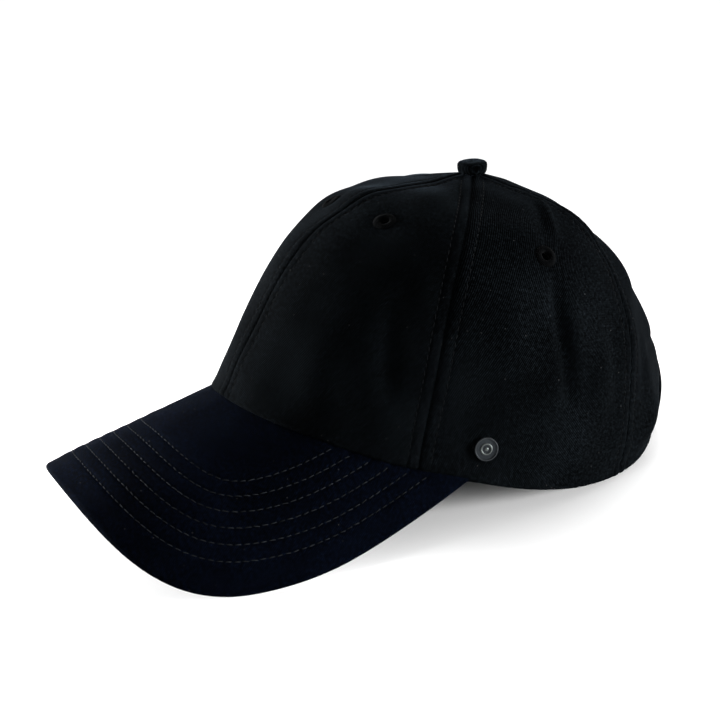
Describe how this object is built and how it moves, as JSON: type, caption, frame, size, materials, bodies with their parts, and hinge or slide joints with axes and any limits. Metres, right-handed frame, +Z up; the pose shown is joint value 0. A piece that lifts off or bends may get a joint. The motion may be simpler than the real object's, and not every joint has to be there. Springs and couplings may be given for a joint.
{
  "type": "baseball cap",
  "caption": "Baseball cap: soft panelled fabric crown with vent eyelets and a covered button, curved stitched bill, and a buckled strap across a rear opening.",
  "frame": {"origin": "centre of the head opening seen from above, at the height of the surface that the cap rests on", "axes": "+Z up, +Y towards the back of the wearer's head (the bill points to -Y), +X the wearer's left"},
  "size_m": [0.156, 0.2856, 0.1326],
  "materials": {
    "crown_twill": "matte washed cotton twill",
    "eyelet_thread": "satin embroidery thread",
    "seam_tape": "matte woven tape",
    "button_cloth": "matte cotton twill stretched over a button",
    "button_metal": "dark coated steel",
    "bill_twill": "matte cotton twill",
    "bill_board": "plain moulded sheet",
    "bill_thread": "spun polyester sewing thread",
    "sweatband_cotton": "matte cotton twill",
    "label_cloth": "blank satin tape",
    "binding_twill": "matte cotton twill cut on the bias",
    "strap_twill": "matte cotton twill",
    "buckle_metal": "gunmetal, satin",
    "badge_metal": "dark enamel with a thin bright rim"
  },
  "bodies": {
    "cap": {"front_panel_left": "crown_twill", "front_panel_right": "crown_twill", "side_panel_left": "crown_twill", "side_panel_right": "crown_twill", "rear_panel_left": "crown_twill", "rear_panel_right": "crown_twill", "eyelet_front_left": "eyelet_thread", "eyelet_front_right": "eyelet_thread", "eyelet_side_left": "eyelet_thread", "eyelet_side_right": "eyelet_thread", "eyelet_rear_left": "eyelet_thread", "eyelet_rear_right": "eyelet_thread", "seam_tape_front": "seam_tape", "seam_tape_rear": "seam_tape", "seam_tape_front_left": "seam_tape", "seam_tape_front_right": "seam_tape", "seam_tape_rear_left": "seam_tape", "seam_tape_rear_right": "seam_tape", "top_button": "button_cloth", "top_button_rivet": "button_metal", "top_button_washer": "button_metal", "bill_top_cloth": "bill_twill", "bill_under_cloth": "bill_twill", "bill_board": "bill_board", "bill_stitch_row_1": "bill_thread", "bill_stitch_row_2": "bill_thread", "bill_stitch_row_3": "bill_thread", "bill_stitch_row_4": "bill_thread", "bill_stitch_row_5": "bill_thread", "bill_stitch_row_6": "bill_thread", "sweatband": "sweatband_cotton", "care_label": "label_cloth", "rear_binding": "binding_twill", "strap_short": "strap_twill", "buckle_frame": "buckle_metal", "buckle_pin": "buckle_metal", "side_badge": "badge_metal", "side_badge_washer": "badge_metal"},
    "adjusting_strap": {"strap_long": "strap_twill"},
    "clasp_lever": {"buckle_lever": "buckle_metal"}
  },
  "joints": [
    {"name": "strap_slide", "type": "hinge", "parent": "cap", "child": "adjusting_strap", "pos_m": [0, 0.04, 0.013], "axis": [0, 0, -1], "range_deg": [-6, 12]},
    {"name": "clasp_hinge", "type": "hinge", "parent": "cap", "child": "clasp_lever", "pos_m": [0.01494, 0.10419, 0.01255], "axis": [-0.0176, -0.1206, -0.9925], "range_deg": [0, 105]}
  ]
}
